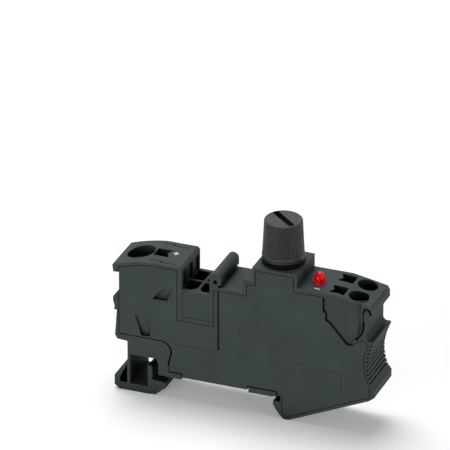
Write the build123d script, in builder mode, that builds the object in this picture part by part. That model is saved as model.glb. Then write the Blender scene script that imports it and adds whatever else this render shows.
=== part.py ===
from build123d import *
import math
import os

os.makedirs("parts", exist_ok=True)

# Fuse terminal block for a 35 mm top-hat rail.
# x runs across the rail to the right, y along the rail towards the back, z up.
# The origin is on the rail's centreline, on the top of its flanges, midway in the module.

# Rail and module
rail_width = 35.0
rail_flange = 1.0
rail_play = 0.6
module_width = 13.2
cover_thickness = 1.2
wall = 1.2
seam = 0.2
rim = 1.0
underside = 0.65
foot_drop = 6.05

# Terminal strip at the left
face_left = -27.25
strip_top = 32.8
strip_drop = 2.45
strip_bulge = 0.3
strip_shoulder = -18.9
lip_overhang = 1.85
lip_height = 2.0
strip_depth = 4.6
edge_chamfer = 0.6

# Left side of the housing
bump_out = 1.7
bump_top = 23.35
bump_bottom = 17.15
bulge_bottom = 8.5
serration_count = 8
serration_pitch = 0.85
serration_depth = 0.4

# Shaft for plug-in bridges
shaft_left = -9.7
shaft_right = -1.9
shaft_wall = 1.4
grid_top = 26.45
grid_bottom = 16.05
grid_web = 0.7
shaft_groove_drop = 1.6
shaft_groove_width = 2.6
shaft_groove_sink = 0.5
rows_split = -5.8
panel_bottom = 17.25
panel_margin = 1.2
panel_sink = 0.2

# Round bar along the rail, and the trough beside it
bar_height = 31.55
bar_radius = 1.55
bar_hole_radius = 0.6
bar_hole_drop = 1.0
bar_undercut = 0.8
trough_floor = 29.05
trough_right = 7.4
step_height = 32.85

# Raised seat and lower deck
seat_left = 9.9
seat_right = 22.2
seat_top = 36.85
deck_height = 33.15
deck_break = 33.0
deck_slope = 10.5
deck_edge = 0.35
tower_seam = 29.3
tower_sink = 0.7
tower_gap = 0.6
cover_drop = 1.4

# Right end: hook, channel and ribbed grip
deck_right = 42.35
hook_right = 43.0
hook_depth = 2.8
hook_height = 1.9
channel_wall = 41.25
channel_floor = 21.25
channel_radius = 1.1
grip_right = 43.35
grip_top = 20.45
grip_bottom = 7.65
grip_sag = 1.5
grip_groove_count = 10
grip_groove_width = 0.42
grip_notch = 0.4
grip_groove_depth = 0.55
corner_right = 43.7
corner_height = 5.05

# Feet on the rail
arm_top = 10.25
arm_bend = 2.9
arm_right = -12.9
arm_gap = 0.5
arm_seam = 0.3
foot_wall = 0.65
window_top = 4.8
window_right = -16.35
window_floor = -4.0
post_width = 1.2
post_top = 2.35
nose_reach = 3.2
nose_depth = 1.8
gusset_out = 3.7
gusset_top = -2.15
gusset_sink = 4.0
right_foot = 19.6
right_recess = 17.8
right_lip = 15.75
right_play = 0.2
pad_height = 1.45
pad_relief = 0.15
pad_left_end = -10.0
pad_right_start = 8.9
pad_right_end = 16.6
pad_gap = 0.4

# Wire and screwdriver holes
wire_left_x = -23.5
wire_left_mouth = 3.8
wire_left_bore = 3.2
driver_left_x = -17.3
driver_length = 4.3
driver_width = 4.0
driver_notch = 1.0
wire_right_x = 38.1
wire_right_mouth = 2.7
wire_right_bore = 2.25
driver_right_x = 32.5
terminal_pitch = 6.7
sign_line_y = 5.0
sign_line_width = 0.3
sign_line_sink = 0.4
guide_length = 3.0
guide_small_length = 1.6
mouth_cone = 0.6
mouth_ledge = 0.3
guide_wall = 0.5

# Chambers
play = 0.1
input_floor = 12.35
input_channel = 2.2
output_floor = 18.45
chamber_left_right = -12.2
chamber_right_left = 30.4
chamber_right_wall = 1.05
chamber_right_roof = 4.2
base_chamber_left = 10.9
base_chamber_top = 23.65
partition = 0.8
lamp_chamber_width = 6.4
deck_thickness = 1.8

# Current bars
bar_thickness = 0.8
bar_bend = 1.0
input_width = 6.0
input_top = 23.05
input_rise = 4.0
output_tab_width = 4.0
output_tab_top = 34.05
output_top_gap = 1.9

# Clamps: a folded spring in a stamped cage, pressing towards the bar's leg
spring_thickness = 0.5
cage_thickness = 0.5
tip_gap = 0.3
large_width = 10.2
large_bend_radius = 2.2
large_bend_ratio = 0.65
large_bend_angle = 134.0
small_width = 4.7
small_bend_share = 0.143
small_bend_ratio = 0.63
small_bend_angle = 130.0

# Forks for plug-in bridges
fork_thickness = 0.5
fork_width = 2.0
fork_spread = 5.6
fork_top = 22.05

# Fuse, its socket and cap
fuse_x = 16.0
fuse_length = 20.0
fuse_radius = 2.6
fuse_glass_wall = 0.6
fuse_end_length = 5.0
fuse_end_wall = 0.25
fuse_wire_radius = 0.12
fuse_bottom = 22.95
sleeve_inner = 4.0
sleeve_wall = 0.6
sleeve_length = 8.7
well_radius = 3.9
collar_height = 1.0
collar_radius = 5.65
collar_bore = 4.35
cap_gap = 0.2
cap_height = 10.9
cap_top_radius = 5.05
cap_body_radius = 5.5
cap_band_radius = 5.6
cap_band_height = 1.3
cap_edge = 0.3
cap_ring_radius = 4.1
cap_ridge_count = 60
cap_ridge_depth = 0.24
slot_width = 1.85
slot_length = 9.2
slot_depth = 1.6
slot_angle = -41.0
spigot_length = 7.3
thread_clearance = 0.3
clip_wall = 0.38
clip_flare = 0.75
clip_flare_height = 1.0
running = 0.05

contact_thickness = 0.4
contact_width = 5.0
contact_reach = 3.3
contact_flat = 1.2
contact_bend = 0.5
rivet_radius = 0.8
rivet_head = 0.5

# Lamp
lamp_x = 26.6
lamp_y = -1.5
lamp_radius = 1.5
lamp_rise = 1.2
lamp_height = 3.1
lamp_flange = 0.3
lamp_flange_height = 0.8
lead_radius = 0.25
lead_spread = 1.27
board_thickness = 0.8
board_gap = 1.5
resistor_radius = 0.9
resistor_length = 3.4

# Side cover
pin_radius = 1.0
pin_length = 4.0
groove_width = 0.7
groove_sink = 0.45
groove_bottom = 10.85
recess_sink = 1.0
step_width = 0.25
step_sink = 0.12
mark_drop = 12.6

# Values that follow from the ones above
front = -module_width / 2
back = module_width / 2
inner_front = front + cover_thickness
inner_back = back - wall
inner_width = inner_back - inner_front
half_rail = rail_width / 2
foot_bottom = -foot_drop
lip_left = face_left - lip_overhang
lip_corner = strip_top - strip_drop
strip_middle = (lip_left + strip_shoulder) / 2
strip_swell = (strip_top + lip_corner) / 2 + strip_bulge
bar_x = shaft_right + bar_radius
bar_right = bar_x + bar_radius
hook_edge = deck_height - hook_depth
hook_under = hook_edge - hook_height
deck_end = deck_height - (deck_right - deck_break) * math.tan(math.radians(deck_slope))
post_right = -half_rail - rail_play
post_left = post_right - post_width
nose_top = -rail_flange - rail_play
nose_right = -half_rail + nose_reach
lip_top = -rail_flange - right_play
foot_left = window_right - 8.0
foot_outer = foot_left - foot_wall
chamber_left_left = face_left + wall
strip_underside = strip_top - strip_depth
chamber_right_right = channel_wall - chamber_right_wall
chamber_left_top = strip_underside
chamber_right_top = deck_height - chamber_right_roof
output_top = chamber_right_top - output_top_gap
small_bend_radius = small_bend_share * (chamber_right_top - output_floor)
sleeve_outer = sleeve_inner + sleeve_wall
input_line = input_floor + play + bar_thickness / 2
input_leg = chamber_left_left + play + bar_thickness / 2
input_high = input_line + input_rise
output_line = output_floor + play + bar_thickness / 2
output_tab = fuse_x + sleeve_outer + play + bar_thickness / 2
output_leg = chamber_right_right - play - bar_thickness / 2
base_chamber_right = output_tab + bar_thickness / 2 + play
lamp_chamber_left = lamp_x - lamp_chamber_width / 2
lamp_chamber_right = lamp_x + lamp_chamber_width / 2
lamp_chamber_top = deck_height - deck_thickness
small_centre = (partition + inner_width) / 4
fuse_top = fuse_bottom + fuse_length
spigot_radius = sleeve_inner - thread_clearance
clip_inner = fuse_radius + 0.02
clip_outer = clip_inner + clip_wall
cap_bore = clip_outer + running
cap_bottom = seat_top + collar_height + cap_gap
cap_top = cap_bottom + cap_height
grip_height = grip_top - grip_bottom
grip_radius = (grip_height ** 2 / 4 + grip_sag ** 2) / (2 * grip_sag)
grip_middle = (grip_top + grip_bottom) / 2
grip_fan = math.degrees(2 * math.asin(0.46 * grip_height / grip_radius))
pin_places = (
    (4.5, 22.05),
    (-6.5, 8.55),
    (25.0, 10.05),
    (37.0, 13.55),
)
step_lines = (
    ((-11.6, 10.15), (0.3, 10.15)),
    ((28.8, 10.65), (33.5, 10.35), (34.7, 9.95), (34.7, 4.25)),
    ((19.5, 11.45), (24.5, 11.35)),
)
panel_left = shaft_left - shaft_wall
panel_right = shaft_right + shaft_wall - rim / 4


def side(y):
    """Plane of the side view, seen from the front, at a place along the rail."""
    return Plane.XZ.offset(-y)


def keep(piece, name):
    """Label a finished piece and write it."""
    piece.part.label = name
    export_step(piece.part, f"parts/{name}.step")


def opening(x1, z1, x2, z2):
    """Rectangle between two corners of the side view."""
    with Locations(((x1 + x2) / 2, (z1 + z2) / 2)):
        Rectangle(abs(x2 - x1), abs(z2 - z1))


def driver_hole(x, y, notch_side):
    """Screwdriver hole with a notch in the wall away from the wire."""
    reach = driver_length / 2 * notch_side
    with Locations((x, y)):
        Polygon(
            (-reach, -driver_width / 2),
            (reach, -driver_width / 2),
            (reach - driver_notch * notch_side, 0),
            (reach, driver_width / 2),
            (-reach, driver_width / 2),
            align=(Align.NONE, Align.NONE),
        )


# Outline of the side cover, shared by the cover and its recess in the housing
cover_seam = deck_height - cover_drop
tower_right = channel_wall - 1.1
tower_foot = grip_top - 1.3
tower_drop = cover_seam - tower_foot
tower_face = cover_seam - channel_floor
foot_slope = (corner_height - 1.1 - foot_bottom) / (corner_right - 1.4 - right_foot - 0.5)
with BuildSketch(side(front)) as cover_face:
    with BuildLine():
        ThreePointArc(
            (face_left, lip_corner - rim / 2),
            (strip_middle + rim / 2, strip_swell - rim),
            (strip_shoulder, strip_top - rim),
        )
        Polyline(
            (strip_shoulder, strip_top - rim),
            (panel_left, strip_top - rim),
            (panel_left, panel_bottom),
            (panel_right, panel_bottom),
            (panel_right, trough_floor - rim),
            (trough_right + rim, trough_floor - rim),
            (trough_right + rim, step_height - cover_drop),
            (seat_left + rim, step_height - cover_drop),
            (seat_left + rim, seat_top - rim),
            (seat_right - rim, seat_top - rim),
            (seat_right - rim, cover_seam),
            (tower_seam, cover_seam),
            (tower_seam, cover_seam - 0.31 * tower_drop),
            (tower_seam + 0.75, cover_seam - 0.36 * tower_drop),
            (tower_seam + 0.75, cover_seam - 0.53 * tower_drop),
            (tower_seam + 1.8, cover_seam - 0.56 * tower_drop),
            (tower_seam + 6.6, tower_foot),
            (tower_seam + 8.1, tower_foot),
            (channel_wall - 1.3, channel_floor),
            (channel_wall - 0.6, channel_floor - 0.1),
            (grip_right - grip_sag, grip_top - rim / 2),
        )
        ThreePointArc(
            (grip_right - grip_sag, grip_top - rim / 2),
            (grip_right - grip_sag - 1.2, grip_middle),
            (grip_right - grip_sag - 0.3, grip_bottom + 2.4),
        )
        Polyline(
            (grip_right - grip_sag - 0.3, grip_bottom + 2.4),
            (corner_right - rim * 1.4, grip_bottom - rim / 2),
            (corner_right - rim * 1.4, corner_height),
            (right_foot + 0.5, corner_height - foot_slope * (corner_right - 1.4 - right_foot - 0.5)),
            (right_foot - 0.6, foot_bottom + rim),
            (right_foot - 1.2, foot_bottom + 1.5 * rim),
            (right_recess + rim / 2, lip_top - rim / 2),
            (right_recess + rim / 2, underside),
            (arm_right - 0.9 + arm_gap, underside),
            (arm_right - 0.9 + arm_gap, window_top - 1.3),
            (arm_right + arm_gap, arm_top - arm_bend),
        )
        RadiusArc(
            (arm_right + arm_gap, arm_top - arm_bend),
            (arm_right - arm_bend, arm_top + arm_seam),
            -arm_bend - arm_gap / 2,
        )
        Polyline(
            (arm_right - arm_bend, arm_top + arm_seam),
            (face_left, arm_top + arm_seam),
            (face_left, lip_corner - rim / 2),
        )
    make_face()

# Housing, moulded in one piece with its feet, bar, hook and grip
with BuildPart() as housing:
    with BuildSketch(side(front)):
        with BuildLine():
            Polyline(
                (face_left, bump_top),
                (face_left, lip_corner - lip_height),
                (lip_left + 0.25, lip_corner - lip_height),
                (lip_left, lip_corner),
            )
            ThreePointArc(
                (lip_left, lip_corner),
                (strip_middle, strip_swell),
                (strip_shoulder, strip_top),
            )
            Polyline(
                (strip_shoulder, strip_top),
                (shaft_left - edge_chamfer, strip_top),
                (shaft_left, strip_top - edge_chamfer),
                (shaft_left, grid_top),
                (shaft_right, grid_top),
                (shaft_right, bar_height),
            )
            ThreePointArc(
                (shaft_right, bar_height),
                (bar_x, bar_height + bar_radius),
                (bar_right, bar_height),
            )
            Polyline(
                (bar_right, bar_height),
                (bar_right, trough_floor + bar_undercut),
                (bar_right - bar_undercut, trough_floor + bar_undercut),
                (bar_right - bar_undercut, trough_floor),
                (trough_right, trough_floor),
                (trough_right, step_height),
                (seat_left, step_height),
                (seat_left, seat_top),
                (seat_right, seat_top),
                (seat_right, deck_height),
                (deck_break, deck_height),
                (deck_right, deck_end),
                (hook_right, hook_edge),
                (hook_right, hook_under),
                (channel_wall, hook_under),
                (channel_wall, channel_floor + channel_radius),
            )
            ThreePointArc(
                (channel_wall, channel_floor + channel_radius),
                (
                    channel_wall + channel_radius * (1 - math.sqrt(0.5)),
                    channel_floor + channel_radius * (1 - math.sqrt(0.5)),
                ),
                (channel_wall + channel_radius, channel_floor),
            )
            Polyline(
                (channel_wall + channel_radius, channel_floor),
                (grip_right, channel_floor),
                (grip_right, grip_top),
            )
            ThreePointArc(
                (grip_right, grip_top),
                (grip_right - grip_sag, grip_middle),
                (grip_right, grip_bottom),
            )
            Polyline(
                (grip_right, grip_bottom),
                (corner_right, grip_bottom - rim / 2),
                (corner_right, corner_height),
                (corner_right - 1.4, corner_height - 1.1),
                (right_foot + 0.5, foot_bottom),
                (right_foot - 0.8, foot_bottom),
                (right_foot - 1.9, foot_bottom + 0.95),
                (right_lip + 0.75, foot_bottom + 2.55),
                (right_lip, lip_top - 0.9),
                (right_lip, lip_top),
                (right_recess, lip_top),
                (right_recess, underside),
                (window_right, underside),
                (window_right, window_top - 1.5),
                (window_right - 0.6, window_top),
                (foot_left, window_top),
                (foot_left, window_floor),
                (post_left, window_floor),
                (post_left, post_top),
                (post_right, post_top),
                (post_right, nose_top),
                (nose_right, nose_top - 0.3),
                (nose_right, nose_top - nose_depth),
                (post_right + 0.9, foot_bottom + 0.2),
                (post_left - 0.3, foot_bottom),
                (foot_outer - gusset_out + 1.3, foot_bottom),
                (foot_outer - gusset_out, foot_bottom + 1.1),
                (foot_outer - gusset_out, gusset_top),
                (foot_outer, window_top - 1.6),
                (foot_outer, bulge_bottom),
                (face_left - 0.6, bulge_bottom + 0.2),
                (face_left - bump_out + 0.4, bulge_bottom + 1.5),
                (face_left - 0.65, bump_bottom),
                (face_left - bump_out + 0.2, bump_bottom + 0.2),
                (face_left - bump_out + 0.45, bump_bottom + 1.0),
                (face_left - bump_out, bump_bottom + 2.7),
                (face_left - bump_out, bump_top - 2.3),
                (face_left, bump_top),
            )
        make_face()
    extrude(amount=-module_width)

    # Broken front edge of the deck, level and then sloping
    for start, slope, run in (
        (seat_right, 0, deck_break - seat_right),
        (deck_break, deck_slope, deck_right - deck_break),
    ):
        fall = math.radians(slope)
        along = Plane(
            origin=(start, front, deck_height),
            x_dir=(0, 1, 0),
            z_dir=(math.cos(fall), 0, -math.sin(fall)),
        )
        with BuildSketch(along):
            Polygon(
                (-1, 1),
                (deck_edge + 1, 1),
                (-1, -deck_edge - 1),
                align=(Align.NONE, Align.NONE),
            )
        extrude(amount=run / math.cos(fall), mode=Mode.SUBTRACT)

    # Recess for the side cover
    with BuildSketch(side(front)):
        add(cover_face.sketch_local)
        offset(amount=seam, kind=Kind.INTERSECTION)
    extrude(amount=-cover_thickness, mode=Mode.SUBTRACT)

    # Pads that rest on the rail's flanges
    with BuildSketch(side(front)):
        opening(window_right, 0, pad_left_end, pad_height)
        opening(pad_right_start, 0, pad_right_end, pad_height)
    extrude(amount=-module_width)

    # Relief above the two hooks, which lets the block tilt onto the rail
    with BuildSketch(side(front)):
        opening(window_right, 0, nose_right + pad_relief, pad_relief)
        opening(right_lip - pad_relief, 0, pad_right_end, pad_relief)
    extrude(amount=-module_width, mode=Mode.SUBTRACT)

    # Sunk wall of the tower, bulging round the front wire hole
    with BuildSketch(side(front)):
        with BuildLine():
            Polyline(
                (tower_seam - 1, cover_seam),
                (tower_right, cover_seam),
                (tower_right, channel_floor + 0.77 * tower_face),
                (tower_right + 0.15, channel_floor + 0.5 * tower_face),
                (tower_right - 0.1, channel_floor + 0.35 * tower_face),
                (tower_right - 0.8, channel_floor + 0.16 * tower_face),
                (tower_right - 2.2, channel_floor - 0.04 * tower_face),
                (tower_seam + 8.2, tower_foot + 0.1),
                (tower_seam + 7, tower_foot - 0.5),
                (tower_seam - 1, cover_seam - tower_drop / 2),
                close=True,
            )
        make_face()
    extrude(amount=-tower_sink, mode=Mode.SUBTRACT)
    with Locations((wire_right_x - 0.6, -terminal_pitch / 2, channel_floor + 0.5)):
        Cylinder(
            -front - terminal_pitch / 2,
            cover_seam - channel_floor,
            align=(Align.CENTER, Align.CENTER, Align.MIN),
        )

    # Curved gap between the tower and the wall of the hook
    with BuildSketch(side(front)):
        with BuildLine():
            Spline(
                (hook_right - 0.65, hook_under + 0.6),
                (hook_right - 0.95, hook_edge - 0.2),
                (channel_wall - 0.1, hook_edge + 0.2),
                (tower_right + 0.45, hook_edge - 0.7),
                (tower_right + 0.4, channel_floor + 0.5 * tower_face),
                (tower_right + 0.35, channel_floor + 0.3 * tower_face),
                (tower_right - 0.55, channel_floor + 0.12 * tower_face),
                (tower_right - 1.65, channel_floor - 0.01 * tower_face),
            )
        trace(line_width=tower_gap)
    extrude(amount=-0.8 * cover_thickness, mode=Mode.SUBTRACT)

    # Slit that frees the bent end of the foot's arm
    with BuildSketch(side(front)):
        with BuildLine():
            RadiusArc(
                (arm_right - arm_bend, arm_top),
                (arm_right, arm_top - arm_bend),
                arm_bend,
            )
            Polyline(
                (arm_right, arm_top - arm_bend),
                (arm_right - 0.9, window_top - 1.3),
                (arm_right - 0.9 + arm_gap, window_top - 1.3),
                (arm_right + arm_gap, arm_top - arm_bend),
                (arm_right + arm_gap, arm_top),
                (arm_right, arm_top + arm_seam),
                (face_left, arm_top + arm_seam),
                (face_left, arm_top),
                (arm_right - arm_bend, arm_top),
            )
        make_face()
    extrude(amount=-cover_thickness, mode=Mode.SUBTRACT)

    # Chambers behind the cover, and the channels between them for the bars
    with BuildSketch(side(inner_front)):
        opening(chamber_left_left, input_floor, chamber_left_right, chamber_left_top)
        opening(chamber_left_right - 1, input_floor, shaft_left + 1, input_floor + input_channel)
        opening(shaft_left, input_floor, shaft_right, grid_top + 1)
        opening(shaft_right - 1, input_floor, base_chamber_left + 1, input_floor + input_channel)
        opening(base_chamber_left, input_floor, base_chamber_right, base_chamber_top)
        opening(base_chamber_right - 1, output_floor, lamp_chamber_left + 1, output_line + 1)
        opening(lamp_chamber_left, output_floor, lamp_chamber_right, lamp_chamber_top)
        opening(lamp_chamber_right - 1, output_floor, chamber_right_left + 1, output_line + 1)
        opening(chamber_right_left, output_floor, chamber_right_right, chamber_right_top)
    extrude(amount=-inner_width, mode=Mode.SUBTRACT)

    # Slot for the output bar's tab beside the socket
    with BuildSketch(side(-output_tab_width / 2 - play)):
        opening(fuse_x, base_chamber_top - 1, base_chamber_right, output_tab_top + play)
    extrude(amount=-output_tab_width - 2 * play, mode=Mode.SUBTRACT)

    # Grid in the shaft: a web along the rail and a wall across it
    with BuildSketch(side(inner_front)):
        opening(rows_split - grid_web / 2, grid_bottom, rows_split + grid_web / 2, grid_top)
    extrude(amount=-inner_width)
    with BuildSketch(side(-grid_web / 2)):
        opening(shaft_left, grid_bottom, shaft_right, grid_top)
    extrude(amount=-grid_web)
    with BuildSketch(Plane.XY.offset(grid_top)):
        with BuildLine():
            Polyline(
                (rows_split - 1.6, inner_front),
                (rows_split + 1.2, inner_front),
                (rows_split, inner_front + 1.8),
                close=True,
            )
        make_face()
    extrude(amount=-2 * grid_web)

    # Partition between the two small clamps
    with BuildSketch(side(-partition / 2)):
        opening(chamber_right_left, output_line + 1, chamber_right_right, chamber_right_top)
    extrude(amount=-partition)

    # Guides for the wires, and their mouths
    with Locations((wire_left_x, 0, chamber_left_top)):
        Cylinder(
            wire_left_bore + guide_wall,
            guide_length,
            align=(Align.CENTER, Align.CENTER, Align.MAX),
        )
    with Locations((wire_right_x, 0, chamber_right_top)):
        with GridLocations(0, terminal_pitch, 1, 2):
            Cylinder(
                wire_right_bore + guide_wall,
                guide_small_length,
                align=(Align.CENTER, Align.CENTER, Align.MAX),
            )
    with Locations((wire_left_x, 0, chamber_left_top - guide_length)):
        Cylinder(
            wire_left_bore,
            2 * guide_length,
            align=(Align.CENTER, Align.CENTER, Align.MIN),
            mode=Mode.SUBTRACT,
        )
    with Locations((wire_left_x, 0, chamber_left_top)):
        Cone(
            wire_left_bore,
            wire_left_mouth,
            mouth_cone,
            align=(Align.CENTER, Align.CENTER, Align.MIN),
            mode=Mode.SUBTRACT,
        )
    with Locations((wire_left_x, 0, chamber_left_top + mouth_cone)):
        Cylinder(
            wire_left_mouth,
            strip_depth,
            align=(Align.CENTER, Align.CENTER, Align.MIN),
            mode=Mode.SUBTRACT,
        )
    with Locations((wire_right_x, 0, chamber_right_top - guide_small_length)):
        with GridLocations(0, terminal_pitch, 1, 2):
            Cylinder(
                wire_right_bore,
                guide_small_length + 1,
                align=(Align.CENTER, Align.CENTER, Align.MIN),
                mode=Mode.SUBTRACT,
            )
    with Locations((wire_right_x, 0, chamber_right_top + mouth_ledge)):
        with GridLocations(0, terminal_pitch, 1, 2):
            Cylinder(
                wire_right_mouth,
                strip_depth,
                align=(Align.CENTER, Align.CENTER, Align.MIN),
                mode=Mode.SUBTRACT,
            )

    # Screwdriver holes
    with BuildSketch(Plane.XY.offset(strip_top + 1)):
        driver_hole(driver_left_x, 0, 1)
    extrude(amount=-strip_depth - 2, mode=Mode.SUBTRACT)
    with BuildSketch(Plane.XY.offset(deck_height + 1)):
        driver_hole(driver_right_x, -terminal_pitch / 2, -1)
        driver_hole(driver_right_x, terminal_pitch / 2, -1)
    extrude(amount=-chamber_right_roof - 2, mode=Mode.SUBTRACT)

    # Bore for the fuse socket, the well below it, and the hole for the lamp
    with Locations((fuse_x, 0, seat_top)):
        Cylinder(
            sleeve_outer + running,
            sleeve_length,
            align=(Align.CENTER, Align.CENTER, Align.MAX),
            mode=Mode.SUBTRACT,
        )
        Cylinder(
            well_radius,
            seat_top - base_chamber_top + 1,
            align=(Align.CENTER, Align.CENTER, Align.MAX),
            mode=Mode.SUBTRACT,
        )
    with Locations((lamp_x, lamp_y, deck_height)):
        Cylinder(lamp_radius + running, 3 * deck_thickness, mode=Mode.SUBTRACT)

    # Two stepped lines sunk into the strip, one each side of the wire hole
    with BuildSketch(Plane.XY.offset(strip_top + 1)):
        for line_side in (-1, 1):
            with BuildLine():
                Polyline(
                    (driver_left_x - 2.2, line_side * sign_line_y + 0.25),
                    (driver_left_x + 1.3, line_side * sign_line_y + 0.25),
                    (driver_left_x + 1.0, line_side * sign_line_y - 0.25),
                    (driver_left_x + 5.5, line_side * sign_line_y - 0.25),
                )
            trace(line_width=sign_line_width)
    extrude(amount=-1 - sign_line_sink, mode=Mode.SUBTRACT)

    # Upright grooves in the strip's wall above the shaft
    with BuildSketch(Plane.XY.offset(strip_top - shaft_groove_drop)):
        with Locations((shaft_left, 0)):
            with GridLocations(0, module_width / 3, 1, 3):
                Rectangle(2 * shaft_groove_sink, shaft_groove_width)
    extrude(amount=grid_top - strip_top + shaft_groove_drop, mode=Mode.SUBTRACT)

    # Hole in the end of the round bar, the hollow in the foot's gusset, and pin holes
    with BuildSketch(side(front)):
        with Locations((bar_x, bar_height - bar_hole_drop)):
            Circle(bar_hole_radius)
    extrude(amount=-3 * cover_thickness, mode=Mode.SUBTRACT)
    with BuildSketch(side(front)):
        with BuildLine():
            Polyline(
                (foot_left - foot_wall - 0.1, window_top - 3.0),
                (foot_left - foot_wall - 0.1, window_floor + 0.1),
                (foot_outer - gusset_out + 1.5, window_floor + 0.1),
                (foot_outer - gusset_out + 1.5, gusset_top - 0.4),
                close=True,
            )
        make_face()
    extrude(amount=-gusset_sink, mode=Mode.SUBTRACT)
    with BuildSketch(side(front)):
        with Locations(*pin_places):
            Circle(pin_radius + running)
    extrude(amount=-cover_thickness - pin_length - play, mode=Mode.SUBTRACT)

    # Sunk field on the shaft's front wall
    with BuildSketch(side(front)):
        opening(
            shaft_left,
            panel_bottom + panel_margin,
            shaft_right,
            grid_top - panel_margin / 4,
        )
    extrude(amount=-panel_sink, mode=Mode.SUBTRACT)

    # Relief in the rear corner of the grip
    with Locations((corner_right, back, grip_bottom + 0.4)):
        Box(
            2 * grip_sag + 1.6,
            grip_notch,
            grip_height * 0.62,
            align=(Align.CENTER, Align.MAX, Align.MIN),
            mode=Mode.SUBTRACT,
        )

    # Ribs of the grip at the right end, and serrations at the left end
    with BuildSketch(side(front)):
        with Locations((grip_right - grip_sag + grip_radius, grip_middle)):
            with PolarLocations(grip_radius, grip_groove_count, 180 - grip_fan / 2, grip_fan):
                Rectangle(2 * grip_groove_depth, grip_groove_width)
    extrude(amount=-module_width, mode=Mode.SUBTRACT)
    with BuildSketch(side(front)):
        with Locations((face_left - 1.25, bump_bottom - 3.7)):
            with GridLocations(0, serration_pitch, 1, serration_count):
                Rectangle(2 * serration_depth, serration_pitch / 2, rotation=-3)
    extrude(amount=-module_width, mode=Mode.SUBTRACT)
keep(housing, "housing")


# Material taken out of the cover below the terminal strip
with BuildPart() as ramps:
    with BuildSketch(side(front)):
        with BuildLine():
            Polyline(
                (wire_left_x + 0.6, arm_top + 6.8),
                (driver_left_x - 0.9, arm_top + 7.1),
                (driver_left_x - 1.3, arm_top + 0.8),
                (driver_left_x - 3.8, arm_top + 0.6),
                close=True,
            )
        make_face()
        with BuildLine():
            Polyline(
                (driver_left_x - 0.6, bump_top - 1.0),
                (driver_left_x + 3.5, bump_top - 0.9),
                (driver_left_x + 5.0, bump_top + 2.4),
                (driver_left_x + 4.4, bump_top + 4.0),
                (driver_left_x + 3.3, bump_top + 3.7),
                close=True,
            )
        make_face()
    extrude(amount=-recess_sink)
    with BuildSketch(Plane.YZ.offset(face_left)):
        for low, high in (
            (arm_top, arm_top + 8.5),
            (bump_top - 1.2, bump_top + 4.4),
        ):
            with BuildLine():
                Polyline(
                    (front, low),
                    (front + recess_sink, low),
                    (front + recess_sink, low + 1),
                    (front, high),
                    close=True,
                )
            make_face()
    extrude(amount=-face_left, mode=Mode.INTERSECT)

# Side cover with its pins, recesses and relief
with BuildPart() as side_cover:
    with BuildSketch(side(front)):
        add(cover_face.sketch_local)
    extrude(amount=-cover_thickness)
    with BuildSketch(side(inner_front)):
        with Locations(*pin_places):
            Circle(pin_radius)
    extrude(amount=-pin_length)
    # Room for the pads
    with BuildSketch(side(front)):
        opening(window_right, -1, pad_left_end + pad_gap, pad_height + pad_gap)
        opening(
            pad_right_start - pad_gap,
            -1,
            pad_right_end + pad_gap,
            pad_height + pad_gap,
        )
    extrude(amount=-cover_thickness, mode=Mode.SUBTRACT)
    # Groove beside the shaft
    with BuildSketch(side(front)):
        opening(
            panel_right + rim,
            groove_bottom,
            panel_right + rim + groove_width,
            trough_floor - rim,
        )
    extrude(amount=-groove_sink, mode=Mode.SUBTRACT)
    # Recesses below the terminal strip, whose floors slope out to the face
    add(ramps.part, mode=Mode.SUBTRACT)
    # Steps left by the mould, and a small pointed mark
    with BuildSketch(side(front)):
        for line in step_lines:
            with BuildLine():
                Polyline(*line)
            trace(line_width=step_width)
        with Locations((trough_right - 0.2, trough_floor - mark_drop)):
            Circle(0.8)
        with Locations((trough_right - 1.0, trough_floor - mark_drop + 1.4)):
            Rectangle(0.35, 2.0, rotation=25)
    extrude(amount=-step_sink, mode=Mode.SUBTRACT)
keep(side_cover, "side_cover")


def turned(x, y=0.0):
    """Plane through an upright axis, for a profile of radius and height."""
    return Plane(origin=(x, y, 0), x_dir=(1, 0, 0), z_dir=(0, -1, 0))


def upright(x, y=0.0):
    """Upright axis at a place on the block."""
    return Axis((x, y, 0), (0, 0, 1))


# One groove between two ridges of the cap, leaning with its taper
knurl_low = cap_bottom + cap_band_height + 0.15
knurl_rise = cap_top - knurl_low + 0.5
knurl_lean = (cap_body_radius - cap_top_radius) / knurl_rise
knurl_plane = Plane(
    origin=(cap_body_radius, 0, knurl_low),
    x_dir=(1, 0, 0),
    z_dir=(-knurl_lean, 0, 1),
)
ridge_half = 0.6 * math.pi * cap_body_radius / cap_ridge_count
with BuildPart() as knurl_cutter:
    with BuildSketch(knurl_plane):
        with BuildLine():
            Polyline(
                (-cap_ridge_depth, 0),
                (cap_ridge_depth, -2 * ridge_half),
                (cap_ridge_depth, 2 * ridge_half),
                close=True,
            )
        make_face()
    extrude(amount=knurl_rise)

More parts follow.
